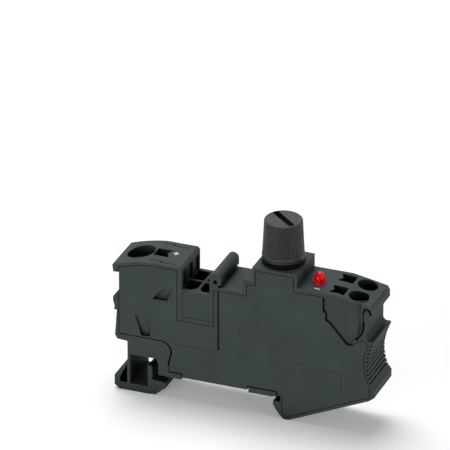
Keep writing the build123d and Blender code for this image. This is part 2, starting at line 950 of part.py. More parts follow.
# Screw cap: knurled head with a slot, and the spigot that screws into the sleeve
with BuildPart() as fuse_cap:
    with BuildSketch(turned(fuse_x)):
        with BuildLine():
            Polyline(
                (0, cap_top),
                (cap_top_radius - cap_edge, cap_top),
                (cap_top_radius, cap_top - cap_edge),
                (cap_body_radius, cap_bottom + cap_band_height + 0.15),
                (cap_band_radius - 0.15, cap_bottom + cap_band_height + 0.1),
                (cap_band_radius, cap_bottom + cap_band_height - 0.05),
                (cap_band_radius, cap_bottom + 0.2),
                (cap_band_radius - 0.2, cap_bottom),
                (spigot_radius, cap_bottom),
                (spigot_radius, cap_bottom - spigot_length),
                (cap_bore, cap_bottom - spigot_length),
                (cap_bore, fuse_top + clip_wall + 0.3),
                (0, fuse_top + clip_wall + 0.3),
                close=True,
            )
        make_face()
    revolve(axis=upright(fuse_x))
    turns = [360 / cap_ridge_count * ridge for ridge in range(cap_ridge_count)]
    add(
        [Location((fuse_x, 0, 0), (0, 0, turn)) * knurl_cutter.part for turn in turns],
        mode=Mode.SUBTRACT,
    )
    with BuildSketch(Plane.XY.offset(cap_top)):
        with Locations((fuse_x, 0)):
            Rectangle(slot_length, slot_width, rotation=slot_angle)
    extrude(amount=-slot_depth, mode=Mode.SUBTRACT)
    with BuildSketch(Plane.XY.offset(cap_top)):
        with Locations((fuse_x, 0)):
            Circle(cap_ring_radius + 0.15)
            Circle(cap_ring_radius, mode=Mode.SUBTRACT)
    extrude(amount=-0.12, mode=Mode.SUBTRACT)
keep(fuse_cap, "fuse_cap")

# Black ring on the seat, the mouth of the socket
with BuildPart() as socket_collar:
    with BuildSketch(turned(fuse_x)):
        with BuildLine():
            Polyline(
                (collar_bore, seat_top),
                (collar_radius, seat_top),
                (collar_radius, seat_top + collar_height - 0.25),
                (collar_radius - 0.25, seat_top + collar_height),
                (collar_bore, seat_top + collar_height),
                close=True,
            )
        make_face()
    revolve(axis=upright(fuse_x))
keep(socket_collar, "socket_collar")

# Plated sleeve in the socket, with a shoulder at its foot
with BuildPart() as socket_sleeve:
    with BuildSketch(turned(fuse_x)):
        with BuildLine():
            Polyline(
                (sleeve_inner, seat_top),
                (sleeve_outer, seat_top),
                (sleeve_outer, seat_top - sleeve_length),
                (well_radius, seat_top - sleeve_length),
                (well_radius, seat_top - sleeve_length + 0.5),
                (sleeve_inner, seat_top - sleeve_length + 0.5),
                close=True,
            )
        make_face()
    revolve(axis=upright(fuse_x))
keep(socket_sleeve, "socket_sleeve")

# Cup in the cap that grips the fuse; its flared rim meets the sleeve
clip_low = cap_bottom - spigot_length - running - clip_flare_height
with BuildPart() as cap_contact:
    with BuildSketch(turned(fuse_x)):
        with BuildLine():
            Polyline(
                (clip_inner, clip_low),
                (clip_outer + clip_flare, clip_low),
                (clip_outer + clip_flare, clip_low + clip_flare_height),
                (clip_outer, clip_low + clip_flare_height),
                (clip_outer, fuse_top + clip_wall),
                (0, fuse_top + clip_wall),
                (0, fuse_top),
                (clip_inner, fuse_top),
                close=True,
            )
        make_face()
    revolve(axis=upright(fuse_x))
keep(cap_contact, "cap_contact")

# Fuse: glass tube, two end caps and the wire between them
fuse_glass = fuse_radius - fuse_end_wall - 0.02
with BuildPart() as fuse_tube:
    with BuildSketch(turned(fuse_x)):
        opening(
            fuse_glass - fuse_glass_wall,
            fuse_bottom + fuse_end_wall,
            fuse_glass,
            fuse_top - fuse_end_wall,
        )
    revolve(axis=upright(fuse_x))
keep(fuse_tube, "fuse_tube")

for end_name, end_height, inwards in (
    ("fuse_end_lower", fuse_bottom, 1),
    ("fuse_end_upper", fuse_top, -1),
):
    with BuildPart() as fuse_end:
        with BuildSketch(turned(fuse_x)):
            with BuildLine():
                Polyline(
                    (0, end_height),
                    (fuse_radius, end_height),
                    (fuse_radius, end_height + inwards * fuse_end_length),
                    (fuse_radius - fuse_end_wall, end_height + inwards * fuse_end_length),
                    (fuse_radius - fuse_end_wall, end_height + inwards * fuse_end_wall),
                    (0, end_height + inwards * fuse_end_wall),
                    close=True,
                )
            make_face()
        revolve(axis=upright(fuse_x))
    keep(fuse_end, end_name)

with BuildPart() as fuse_wire:
    with Locations((fuse_x, 0, fuse_bottom + fuse_end_wall)):
        Cylinder(
            fuse_wire_radius,
            fuse_length - 2 * fuse_end_wall,
            align=(Align.CENTER, Align.CENTER, Align.MIN),
        )
keep(fuse_wire, "fuse_wire")

# Current bar from the large clamp, under the shaft, to the foot of the fuse
rivet_x = fuse_x - contact_reach / 2
input_end = base_chamber_right - 3 * play
with BuildPart() as input_bar:
    with BuildSketch(side(-input_width / 2)):
        with BuildLine():
            FilletPolyline(
                (input_leg, input_top),
                (input_leg, input_line),
                (base_chamber_left + 1, input_line),
                (base_chamber_left + 1, input_high),
                (input_end, input_high),
                radius=bar_bend,
            )
        trace(line_width=bar_thickness)
    extrude(amount=-input_width)
    with Locations((rivet_x, 0, input_high)):
        Cylinder(rivet_radius + running, 2 * bar_thickness, mode=Mode.SUBTRACT)
keep(input_bar, "input_bar")

# Folded spring strip on which the fuse stands
contact_line = input_high + bar_thickness / 2 + contact_thickness / 2
contact_peak = fuse_bottom - play - contact_thickness / 2 - 0.05
with BuildPart() as base_contact:
    with BuildSketch(side(-contact_width / 2)):
        with BuildLine():
            FilletPolyline(
                (rivet_x - contact_flat, contact_line),
                (fuse_x + contact_reach - contact_bend / 2, contact_line),
                (fuse_x + contact_reach, contact_peak - 2 * contact_flat),
                (fuse_x + contact_flat, contact_peak),
                (fuse_x - contact_flat, contact_peak),
                (fuse_x - contact_reach, contact_peak - contact_reach / 2),
                radius=contact_bend,
            )
        trace(line_width=contact_thickness)
    extrude(amount=-contact_width)
    with Locations((rivet_x, 0, contact_line)):
        Cylinder(rivet_radius + running, 2 * contact_thickness, mode=Mode.SUBTRACT)
keep(base_contact, "base_contact")

# Rivet through the base contact and the bar
rivet_low = input_high - bar_thickness / 2
rivet_high = contact_line + contact_thickness / 2
with BuildPart() as contact_rivet:
    with BuildSketch(turned(rivet_x)):
        with BuildLine():
            Polyline(
                (0, rivet_low - rivet_head),
                (rivet_radius + rivet_head / 2, rivet_low - rivet_head),
                (rivet_radius + rivet_head, rivet_low),
                (rivet_radius, rivet_low),
                (rivet_radius, rivet_high),
                (rivet_radius + rivet_head, rivet_high),
                (rivet_radius + rivet_head / 2, rivet_high + rivet_head),
                (0, rivet_high + rivet_head),
                close=True,
            )
        make_face()
    revolve(axis=upright(rivet_x))
keep(contact_rivet, "contact_rivet")

# Current bar from the socket sleeve to the two small clamps
output_width = inner_width - 2 * play
with BuildPart() as output_bar:
    with BuildSketch(side(-output_width / 2)):
        with BuildLine():
            FilletPolyline(
                (output_tab, output_tab_top),
                (output_tab, output_line),
                (output_leg, output_line),
                (output_leg, output_top),
                radius=bar_bend,
            )
        trace(line_width=bar_thickness)
    extrude(amount=-output_width)
    with Locations((output_tab, 0, output_line)):
        with GridLocations(0, output_tab_width + output_width, 1, 2):
            Box(
                2 * bar_thickness + 2 * bar_bend,
                output_width,
                2 * output_tab_top,
                mode=Mode.SUBTRACT,
            )
    with Locations((output_leg, 0, output_line + 1)):
        Box(
            3 * bar_thickness,
            partition + 4 * play,
            2 * output_top,
            align=(Align.CENTER, Align.CENTER, Align.MIN),
            mode=Mode.SUBTRACT,
        )
keep(output_bar, "output_bar")


def clamp(name, back_x, leg_x, floor, roof, centre_y, width, radius, share, turn):
    """Spring and cage of one clamp, between its back wall and the bar's leg."""
    towards = math.copysign(1, leg_x - back_x)
    plate = cage_thickness
    height = floor + share * (roof - floor)
    spring_x = back_x + towards * (plate + play + spring_thickness / 2)
    leg_face = leg_x - towards * (bar_thickness / 2 + tip_gap + spring_thickness / 2)
    strip_width = width - 2 * plate - 4 * play
    with BuildPart() as spring:
        with BuildSketch(side(centre_y - strip_width / 2)):
            with BuildLine():
                rise = Line((spring_x, floor + 2 * plate + 2 * play), (spring_x, height))
                bend = JernArc(rise @ 1, rise % 1, radius, -towards * turn)
                lean = bend % 1
                Line(bend @ 1, (bend @ 1) + lean * ((leg_face - (bend @ 1).X) / lean.X))
            trace(line_width=spring_thickness)
        extrude(amount=-strip_width)
    keep(spring, f"clamp_spring_{name}")
    cage_top = height + radius + spring_thickness + play
    cage_end = leg_x - towards * (bar_thickness / 2 + 2 * play)
    with BuildPart() as cage:
        with BuildSketch(side(centre_y - width / 2)):
            opening(back_x, floor + 2 * plate, cage_end, cage_top)
        extrude(amount=-width)
        with BuildSketch(side(centre_y - width / 2 + plate)):
            opening(back_x + towards * plate, floor, cage_end + towards, cage_top + 1)
        extrude(amount=-width + 2 * plate, mode=Mode.SUBTRACT)
        with BuildSketch(side(centre_y - width / 2)):
            with BuildLine():
                Polyline(
                    (spring_x + towards * 2 * radius, cage_top + 1),
                    (cage_end + towards, cage_top + 1),
                    (cage_end + towards, floor + 6 * plate),
                    (cage_end - towards * 2 * plate, floor + 6 * plate),
                    close=True,
                )
            make_face()
        extrude(amount=-width, mode=Mode.SUBTRACT)
    keep(cage, f"clamp_cage_{name}")


clamp(
    "left",
    chamber_left_right - play,
    input_leg,
    input_line + bar_thickness / 2 - 2 * cage_thickness + play,
    chamber_left_top,
    0,
    large_width,
    large_bend_radius,
    large_bend_ratio,
    large_bend_angle,
)
for clamp_name, clamp_y in (("front", -small_centre), ("rear", small_centre)):
    clamp(
        clamp_name,
        chamber_right_left + play,
        output_leg,
        output_line + bar_thickness / 2 - 2 * cage_thickness + play,
        chamber_right_top,
        clamp_y,
        small_width,
        small_bend_radius,
        small_bend_ratio,
        small_bend_angle,
    )

# Forks under the shaft's cells, one strip for each row
fork_line = input_line + bar_thickness / 2 + fork_thickness / 2
for fork_name, fork_x in (
    ("bridge_fork_left", (shaft_left + rows_split - grid_web / 2) / 2),
    ("bridge_fork_right", (shaft_right + rows_split + grid_web / 2) / 2),
):
    with BuildPart() as fork:
        with BuildSketch(Plane.YZ.offset(fork_x - fork_width / 2)):
            with BuildLine():
                FilletPolyline(
                    (-fork_spread / 2 - 0.4, fork_top),
                    (-fork_spread / 2, fork_line),
                    (fork_spread / 2, fork_line),
                    (fork_spread / 2 + 0.4, fork_top),
                    radius=0.6,
                )
            trace(line_width=fork_thickness)
        extrude(amount=fork_width)
    keep(fork, fork_name)

# Lamp: lens in the deck, leads, board and resistor in the chamber below
lamp_foot = lamp_chamber_top - play
with BuildPart() as led_lens:
    with BuildSketch(turned(lamp_x, lamp_y)):
        with BuildLine():
            Polyline(
                (0, deck_height + lamp_height),
                (0, lamp_foot - lamp_flange_height),
                (lamp_radius + lamp_flange, lamp_foot - lamp_flange_height),
                (lamp_radius + lamp_flange, lamp_foot),
                (lamp_radius, lamp_foot),
                (lamp_radius, deck_height + lamp_rise),
            )
            Spline(
                (lamp_radius, deck_height + lamp_rise),
                (lamp_radius * 0.8, deck_height + lamp_height * 0.68),
                (0, deck_height + lamp_height),
                tangents=((0, 1), (-1, 0)),
            )
        make_face()
    revolve(axis=upright(lamp_x, lamp_y))
keep(led_lens, "led_lens")

board_front = lamp_y + board_gap
board_top = lamp_foot - lamp_flange_height - 2.2
board_low = output_line + bar_thickness / 2 + play
with BuildPart() as led_board:
    with BuildSketch(side(board_front)):
        opening(lamp_chamber_left + play, board_low, lamp_chamber_right - play, board_top)
    extrude(amount=-board_thickness)
keep(led_board, "led_board")

lead_low = board_top - 1.6
with BuildPart() as led_leads:
    for lead_side in (-1, 1):
        lead_x = lamp_x + lead_side * lead_spread / 2
        with BuildLine():
            lead_route = FilletPolyline(
                (lead_x, lamp_y, lamp_foot - lamp_flange_height),
                (lead_x, lamp_y, lead_low),
                (lead_x, board_front, lead_low),
                radius=2 * lead_radius,
            )
        with BuildSketch(Plane(origin=lead_route @ 0, z_dir=lead_route % 0)):
            Circle(lead_radius)
        sweep(path=lead_route)
keep(led_leads, "led_leads")

resistor_z = (board_low + lead_low) / 2
resistor_y = board_front - resistor_radius - play
with BuildPart() as led_resistor:
    with BuildSketch(Plane.YZ.offset(lamp_x - resistor_length / 2)):
        with Locations((resistor_y, resistor_z)):
            Circle(resistor_radius)
    extrude(amount=resistor_length)
    fillet(led_resistor.edges(), resistor_radius / 4)
    for pin_side in (-1, 1):
        body_end = lamp_x + pin_side * resistor_length / 2
        pin_bend = lamp_x + pin_side * resistor_length * 0.72
        with BuildLine():
            resistor_pin = FilletPolyline(
                (body_end, resistor_y, resistor_z),
                (pin_bend, resistor_y, resistor_z),
                (pin_bend, board_front, resistor_z),
                radius=0.3,
            )
        with BuildSketch(Plane(origin=resistor_pin @ 0, z_dir=resistor_pin % 0)):
            Circle(lead_radius)
        sweep(path=resistor_pin)
keep(led_resistor, "led_resistor")
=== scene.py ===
import math
import bmesh
import bpy
from mathutils import Matrix, Vector


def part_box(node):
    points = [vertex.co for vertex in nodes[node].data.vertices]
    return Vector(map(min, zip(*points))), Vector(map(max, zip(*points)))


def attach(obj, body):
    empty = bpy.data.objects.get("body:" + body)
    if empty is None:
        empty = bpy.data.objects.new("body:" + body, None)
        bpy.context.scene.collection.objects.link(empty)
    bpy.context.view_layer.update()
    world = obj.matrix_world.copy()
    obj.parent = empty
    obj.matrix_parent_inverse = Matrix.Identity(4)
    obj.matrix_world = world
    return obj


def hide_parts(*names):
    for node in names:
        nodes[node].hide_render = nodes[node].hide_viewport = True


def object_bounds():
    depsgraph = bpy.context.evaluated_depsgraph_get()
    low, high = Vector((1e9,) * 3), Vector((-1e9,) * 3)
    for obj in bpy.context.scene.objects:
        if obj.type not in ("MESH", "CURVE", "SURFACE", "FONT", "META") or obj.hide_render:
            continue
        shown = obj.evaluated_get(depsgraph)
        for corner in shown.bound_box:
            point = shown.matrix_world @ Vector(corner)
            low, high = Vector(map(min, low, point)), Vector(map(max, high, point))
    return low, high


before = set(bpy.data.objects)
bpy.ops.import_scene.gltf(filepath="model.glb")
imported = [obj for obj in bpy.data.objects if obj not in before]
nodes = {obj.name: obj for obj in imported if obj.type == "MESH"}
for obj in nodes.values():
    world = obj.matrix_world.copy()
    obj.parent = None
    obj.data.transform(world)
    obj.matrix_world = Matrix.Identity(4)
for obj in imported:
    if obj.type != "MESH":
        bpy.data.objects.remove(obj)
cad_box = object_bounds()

# The block as it stands on a bench, seen from the front left and a little above,
# through a long lens that keeps its edges nearly parallel.
camera = bpy.data.cameras.new("bench_view")
camera.sensor_width = 36.0
camera.lens = 522.07
camera.clip_start = 0.1
camera.clip_end = 20.0
bench_view = bpy.data.objects.new("bench_view", camera)
bench_view.location = (0.54533, -1.39712, 0.81622)
bench_view.rotation_euler = (math.radians(62.76), 0.0, 0.372249)
bpy.context.scene.collection.objects.link(bench_view)
bpy.context.scene.camera = bench_view
bpy.context.scene.view_settings.view_transform = "Standard"

# A large soft box above and behind, one at the front left and a weak one at the
# right, in a white room.
world = bpy.data.worlds.new("white_room")
bpy.context.scene.world = world
world.use_nodes = True
room = world.node_tree
room.nodes.clear()
seen = room.nodes.new("ShaderNodeLightPath")
straight_or_mirrored = room.nodes.new("ShaderNodeMath")
straight_or_mirrored.operation = "MAXIMUM"
room.links.new(seen.outputs["Is Camera Ray"], straight_or_mirrored.inputs[0])
room.links.new(seen.outputs["Is Transmission Ray"], straight_or_mirrored.inputs[1])
with_gloss = room.nodes.new("ShaderNodeMath")
with_gloss.operation = "MAXIMUM"
room.links.new(straight_or_mirrored.outputs[0], with_gloss.inputs[0])
room.links.new(seen.outputs["Is Glossy Ray"], with_gloss.inputs[1])
dim_room = room.nodes.new("ShaderNodeBackground")
dim_room.inputs["Color"].default_value = (0.96, 0.98, 1.0, 1.0)
dim_room.inputs["Strength"].default_value = 0.17
white_room = room.nodes.new("ShaderNodeBackground")
white_room.inputs["Color"].default_value = (1.0, 1.0, 1.0, 1.0)
white_room.inputs["Strength"].default_value = 1.0
room_mix = room.nodes.new("ShaderNodeMixShader")
room.links.new(with_gloss.outputs[0], room_mix.inputs["Fac"])
room.links.new(dim_room.outputs[0], room_mix.inputs[1])
room.links.new(white_room.outputs[0], room_mix.inputs[2])
room_out = room.nodes.new("ShaderNodeOutputWorld")
room.links.new(room_mix.outputs[0], room_out.inputs["Surface"])


def soft_box(name, place, aim, width, power):
    """Square area light at a place, turned towards a point."""
    lamp = bpy.data.lights.new(name, "AREA")
    lamp.shape = "SQUARE"
    lamp.size = width
    lamp.energy = power
    stand = bpy.data.objects.new(name, lamp)
    stand.location = place
    stand.rotation_euler = (Vector(aim) - Vector(place)).to_track_quat("-Z", "Y").to_euler()
    bpy.context.scene.collection.objects.link(stand)


soft_box("box_above", (-0.16, 0.20, 0.80), (0.01, 0.0, 0.02), 0.50, 5.8)
soft_box("box_front", (-0.35, -1.00, 0.16), (0.01, 0.0, 0.02), 0.40, 4.8)
soft_box("box_right", (0.85, -0.30, 0.14), (0.02, 0.0, 0.02), 0.35, 1.5)

# A plain pale sheet under the feet, which keeps the block's soft shadow.
floor_shape = bmesh.new()
bmesh.ops.create_grid(
    floor_shape, x_segments=1, y_segments=1, size=3.0,
    matrix=Matrix.Translation((0.0, 0.0, cad_box[0][2])),
)
floor_mesh = bpy.data.meshes.new("floor")
floor_shape.to_mesh(floor_mesh)
floor_shape.free()
floor = bpy.data.objects.new("floor", floor_mesh)
bpy.context.scene.collection.objects.link(floor)
paper = bpy.data.materials.new("pale_paper")
paper.use_nodes = True
sheet = paper.node_tree
sheet.nodes.clear()
paper_seen = sheet.nodes.new("ShaderNodeLightPath")
paper_lift = sheet.nodes.new("ShaderNodeMath")
paper_lift.operation = "MULTIPLY"
paper_lift.inputs[1].default_value = 0.22
sheet.links.new(paper_seen.outputs["Is Camera Ray"], paper_lift.inputs[0])
paper_face = sheet.nodes.new("ShaderNodeBsdfDiffuse")
paper_face.inputs["Color"].default_value = (0.86, 0.86, 0.86, 1.0)
paper_glow = sheet.nodes.new("ShaderNodeEmission")
sheet.links.new(paper_lift.outputs[0], paper_glow.inputs["Strength"])
paper_sum = sheet.nodes.new("ShaderNodeAddShader")
sheet.links.new(paper_face.outputs[0], paper_sum.inputs[0])
sheet.links.new(paper_glow.outputs[0], paper_sum.inputs[1])
paper_out = sheet.nodes.new("ShaderNodeOutputMaterial")
sheet.links.new(paper_sum.outputs[0], paper_out.inputs["Surface"])
floor_mesh.materials.append(paper)

# Housing and side cover: two thin-walled mouldings of slate grey polyamide, joined by
# the cover's pins. The tool's spark-eroded face leaves a fine even grain, and every
# edge is slightly rounded, with a painted highlight that makes it lighter; painted
# shade darkens creases, recesses and narrow gaps.


def group_socket(group, name, direction, kind, value=None):
    """Adds a named input or output to a shader group."""
    socket = group.interface.new_socket(name=name, in_out=direction, socket_type=kind)
    if value is not None:
        socket.default_value = value


moulded = bpy.data.node_groups.new("moulded_face", "ShaderNodeTree")
group_socket(moulded, "Colour", "INPUT", "NodeSocketColor", (0.05, 0.06, 0.06, 1.0))
group_socket(moulded, "Edge Colour", "INPUT", "NodeSocketColor", (0.1, 0.11, 0.11, 1.0))
group_socket(moulded, "Grain Scale", "INPUT", "NodeSocketFloat", 9000.0)
group_socket(moulded, "Grain Depth", "INPUT", "NodeSocketFloat", 0.000012)
group_socket(moulded, "Edge Radius", "INPUT", "NodeSocketFloat", 0.00018)
group_socket(moulded, "Painted Shade Reach", "INPUT", "NodeSocketFloat", 0.001)
group_socket(moulded, "Roughness", "INPUT", "NodeSocketFloat", 0.5)
group_socket(moulded, "Colour", "OUTPUT", "NodeSocketColor")
group_socket(moulded, "Roughness", "OUTPUT", "NodeSocketFloat")
group_socket(moulded, "Normal", "OUTPUT", "NodeSocketVector")
face_in = moulded.nodes.new("NodeGroupInput")
face_out = moulded.nodes.new("NodeGroupOutput")
face_place = moulded.nodes.new("ShaderNodeTexCoord")

# the grain of the tool's face
grain = moulded.nodes.new("ShaderNodeTexNoise")
grain.inputs["Detail"].default_value = 2.0
grain.inputs["Roughness"].default_value = 0.6
moulded.links.new(face_place.outputs["Object"], grain.inputs["Vector"])
moulded.links.new(face_in.outputs["Grain Scale"], grain.inputs["Scale"])

# slow clouds left by the melt's flow
flow = moulded.nodes.new("ShaderNodeTexNoise")
flow.inputs["Scale"].default_value = 140.0
flow.inputs["Detail"].default_value = 3.0
moulded.links.new(face_place.outputs["Object"], flow.inputs["Vector"])
flow_shade = moulded.nodes.new("ShaderNodeMapRange")
flow_shade.inputs["From Min"].default_value = 0.3
flow_shade.inputs["From Max"].default_value = 0.7
flow_shade.inputs["To Min"].default_value = 0.93
flow_shade.inputs["To Max"].default_value = 1.07
moulded.links.new(flow.outputs["Fac"], flow_shade.inputs["Value"])
flowed = moulded.nodes.new("ShaderNodeVectorMath")
flowed.operation = "SCALE"
moulded.links.new(face_in.outputs["Colour"], flowed.inputs[0])
moulded.links.new(flow_shade.outputs["Result"], flowed.inputs["Scale"])

# painted shade: ambient occlusion darkens the colour in creases, recesses and narrow gaps, and
# beside and under other parts
crease = moulded.nodes.new("ShaderNodeAmbientOcclusion")
crease.samples = 8
crease.only_local = False
moulded.links.new(face_in.outputs["Painted Shade Reach"], crease.inputs["Distance"])
painted_crease_shade = moulded.nodes.new("ShaderNodeMapRange")
painted_crease_shade.inputs["From Min"].default_value = 0.28
painted_crease_shade.inputs["From Max"].default_value = 0.72
painted_crease_shade.inputs["To Min"].default_value = 0.04
painted_crease_shade.inputs["To Max"].default_value = 1.0
moulded.links.new(crease.outputs["AO"], painted_crease_shade.inputs["Value"])

# rounded edges, and how far a point is on one
rounded = moulded.nodes.new("ShaderNodeBevel")
rounded.samples = 6
moulded.links.new(face_in.outputs["Edge Radius"], rounded.inputs["Radius"])
true_face = moulded.nodes.new("ShaderNodeNewGeometry")
turned_by = moulded.nodes.new("ShaderNodeVectorMath")
turned_by.operation = "DOT_PRODUCT"
moulded.links.new(rounded.outputs["Normal"], turned_by.inputs[0])
moulded.links.new(true_face.outputs["Normal"], turned_by.inputs[1])
on_edge = moulded.nodes.new("ShaderNodeMapRange")
on_edge.inputs["From Min"].default_value = 1.0
on_edge.inputs["From Max"].default_value = 0.86
moulded.links.new(turned_by.outputs["Value"], on_edge.inputs["Value"])
# painted highlight: edges take the edge colour, which on the slate and the cap is much lighter than
# the face
edge_highlight_mix = moulded.nodes.new("ShaderNodeMix")
edge_highlight_mix.data_type = "RGBA"
moulded.links.new(on_edge.outputs["Result"], edge_highlight_mix.inputs["Factor"])
moulded.links.new(flowed.outputs[0], edge_highlight_mix.inputs["A"])
moulded.links.new(face_in.outputs["Edge Colour"], edge_highlight_mix.inputs["B"])
# the painted shade scales the whole colour, the edge colour included
painted_shade_scale = moulded.nodes.new("ShaderNodeVectorMath")
painted_shade_scale.operation = "SCALE"
moulded.links.new(edge_highlight_mix.outputs["Result"], painted_shade_scale.inputs[0])
moulded.links.new(painted_crease_shade.outputs["Result"], painted_shade_scale.inputs["Scale"])
moulded.links.new(painted_shade_scale.outputs[0], face_out.inputs["Colour"])

# edges are rubbed smoother, the grain makes the rest uneven
grain_rough = moulded.nodes.new("ShaderNodeMapRange")
grain_rough.inputs["From Min"].default_value = 0.3
grain_rough.inputs["From Max"].default_value = 0.7
grain_rough.inputs["To Min"].default_value = -0.05
grain_rough.inputs["To Max"].default_value = 0.05
moulded.links.new(grain.outputs["Fac"], grain_rough.inputs["Value"])
rough_sum = moulded.nodes.new("ShaderNodeMath")
rough_sum.operation = "ADD"
moulded.links.new(face_in.outputs["Roughness"], rough_sum.inputs[0])
moulded.links.new(grain_rough.outputs["Result"], rough_sum.inputs[1])
edge_rough = moulded.nodes.new("ShaderNodeMath")
edge_rough.operation = "MULTIPLY_ADD"
edge_rough.inputs[1].default_value = -0.2
moulded.links.new(on_edge.outputs["Result"], edge_rough.inputs[0])
moulded.links.new(rough_sum.outputs[0], edge_rough.inputs[2])
moulded.links.new(edge_rough.outputs[0], face_out.inputs["Roughness"])
grain_bump = moulded.nodes.new("ShaderNodeBump")
grain_bump.inputs["Strength"].default_value = 0.6
moulded.links.new(face_in.outputs["Grain Depth"], grain_bump.inputs["Distance"])
moulded.links.new(grain.outputs["Fac"], grain_bump.inputs["Height"])
moulded.links.new(rounded.outputs["Normal"], grain_bump.inputs["Normal"])
moulded.links.new(grain_bump.outputs["Normal"], face_out.inputs["Normal"])


def moulding(
    name, colour, edge, roughness, radius,
    grain_scale=9000.0, grain_depth=0.000012, shine=0.5, shade_reach=0.001,
):
    """Moulded plastic with its own colour, edge colour and gloss, with painted shade in its
    creases; a lighter edge colour is a painted highlight.
    """
    plastic = bpy.data.materials.new(name)
    plastic.use_nodes = True
    tree = plastic.node_tree
    surface = tree.nodes["Principled BSDF"]
    surface.inputs["IOR"].default_value = 1.42
    surface.inputs["Specular IOR Level"].default_value = shine
    face = tree.nodes.new("ShaderNodeGroup")
    face.node_tree = moulded
    face.inputs["Colour"].default_value = (*colour, 1.0)
    face.inputs["Edge Colour"].default_value = (*edge, 1.0)
    face.inputs["Roughness"].default_value = roughness
    face.inputs["Edge Radius"].default_value = radius
    face.inputs["Painted Shade Reach"].default_value = shade_reach
    face.inputs["Grain Scale"].default_value = grain_scale
    face.inputs["Grain Depth"].default_value = grain_depth
    tree.links.new(face.outputs["Colour"], surface.inputs["Base Color"])
    tree.links.new(face.outputs["Roughness"], surface.inputs["Roughness"])
    tree.links.new(face.outputs["Normal"], surface.inputs["Normal"])
    return plastic


def dress(node, material):
    """Gives a CAD piece its material."""
    nodes[node].data.materials.clear()
    nodes[node].data.materials.append(material)


# painted highlight: the edge colour is lighter than the face; painted shade: the occlusion reaches
# 9 mm and darkens the shaft, the holes, the channel and the foot's window
slate = moulding(
    "slate_polyamide", (0.0450, 0.0575, 0.0575), (0.095, 0.114, 0.114), 0.56, 0.00012,
    shine=0.15, shade_reach=0.009,
)
dress("housing", slate)
dress("side_cover", slate)

# A plus on the large terminal's strip and a minus on the lower deck, pad-printed in
# white ink that stands a hair above the plastic.
ink = moulding("white_ink", (0.88, 0.88, 0.88), (0.8, 0.8, 0.8), 0.45, 0.00001, 20000.0, 0.000004)
ink_height = 0.00003


def print_sign(name, shape, place, turn, material):
    """Flat printed sign: a grid of ink lifted off the plastic."""
    bmesh.ops.translate(shape, verts=shape.verts, vec=(0.0, 0.0, -ink_height / 2))
    printed = bmesh.ops.extrude_face_region(shape, geom=shape.faces[:])
    lifted = [v for v in printed["geom"] if isinstance(v, bmesh.types.BMVert)]
    bmesh.ops.translate(shape, verts=lifted, vec=(0.0, 0.0, ink_height * 1.5))
    turned = Matrix.Rotation(turn, 3, "Z")
    bmesh.ops.rotate(shape, verts=shape.verts, cent=(0, 0, 0), matrix=turned)
    bmesh.ops.translate(shape, verts=shape.verts, vec=place)
    bmesh.ops.recalc_face_normals(shape, faces=shape.faces[:])
    mesh = bpy.data.meshes.new(name)
    shape.to_mesh(mesh)
    shape.free()
    sign = bpy.data.objects.new(name, mesh)
    bpy.context.scene.collection.objects.link(sign)
    mesh.materials.append(material)
    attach(sign, "block")


plus_length = 0.00145
plus_stroke = 0.00034
plus_place = (-0.0140, 0.0006, 0.0328)
plus = bmesh.new()
bmesh.ops.create_grid(plus, x_segments=3, y_segments=3, size=plus_length / 2)
for corner in plus.verts:
    for axis in (0, 1):
        if abs(corner.co[axis]) < plus_length / 2 - 1e-6:
            corner.co[axis] = math.copysign(plus_stroke / 2, corner.co[axis])
corners = []
for square in plus.faces:
    middle = square.calc_center_median()
    if min(abs(middle.x), abs(middle.y)) > plus_stroke:
        corners.append(square)
bmesh.ops.delete(plus, geom=corners, context="FACES")
print_sign("plus_sign", plus, plus_place, math.radians(4), ink)

minus_length = 0.00150
minus_stroke = 0.00031
minus_place = (0.0272, -0.0050, 0.03315)
minus = bmesh.new()
bmesh.ops.create_grid(minus, x_segments=4, y_segments=1, size=0.5)
bmesh.ops.scale(minus, vec=(minus_length, minus_stroke, 1.0), verts=minus.verts)
print_sign("minus_sign", minus, minus_place, math.radians(-3), ink)

# Black screw cap, moulded in one with its fine ridges, driver slot and spigot. The
# thread on the spigot runs in the plated sleeve.
# painted highlight: the edge colour, far lighter than the black, lights the cap's rim and ridges;
# painted shade darkens the grooves between the ridges and the foot of the cap
cap_black = moulding(
    "cap_black", (0.0130, 0.0138, 0.0138), (0.24, 0.247, 0.242), 0.38, 0.00010,
    12000.0, 0.000006, shade_reach=0.002,
)
dress("fuse_cap", cap_black)

thread_pitch = 0.0015
thread_axis = Vector((0.016, 0.0, 0.0))
thread_half_width = 0.00034
crest_share = 0.35
steps_per_turn = 48


def helix(name, root, crest, low, turns, start, body, material):
    """Screw thread: a wedge spun about the cap's axis while it climbs."""
    shape = bmesh.new()
    crest_half = thread_half_width * crest_share
    wedge = [
        shape.verts.new((root, 0.0, -thread_half_width)),
        shape.verts.new((crest, 0.0, -crest_half)),
        shape.verts.new((crest, 0.0, crest_half)),
        shape.verts.new((root, 0.0, thread_half_width)),
    ]
    profile = shape.faces.new(wedge)
    turned = Matrix.Rotation(start, 3, "Z")
    bmesh.ops.rotate(shape, verts=shape.verts, cent=(0, 0, 0), matrix=turned)
    bmesh.ops.translate(shape, verts=shape.verts, vec=thread_axis + Vector((0, 0, low)))
    bmesh.ops.spin(
        shape, geom=[profile], axis=(0, 0, 1), cent=thread_axis,
        dvec=(0, 0, thread_pitch / steps_per_turn), angle=turns * 2 * math.pi,
        steps=int(turns * steps_per_turn), use_merge=False,
    )
    bmesh.ops.recalc_face_normals(shape, faces=shape.faces[:])
    mesh = bpy.data.meshes.new(name)
    shape.to_mesh(mesh)
    shape.free()
    thread = bpy.data.objects.new(name, mesh)
    bpy.context.scene.collection.objects.link(thread)
    mesh.materials.append(material)
    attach(thread, body)


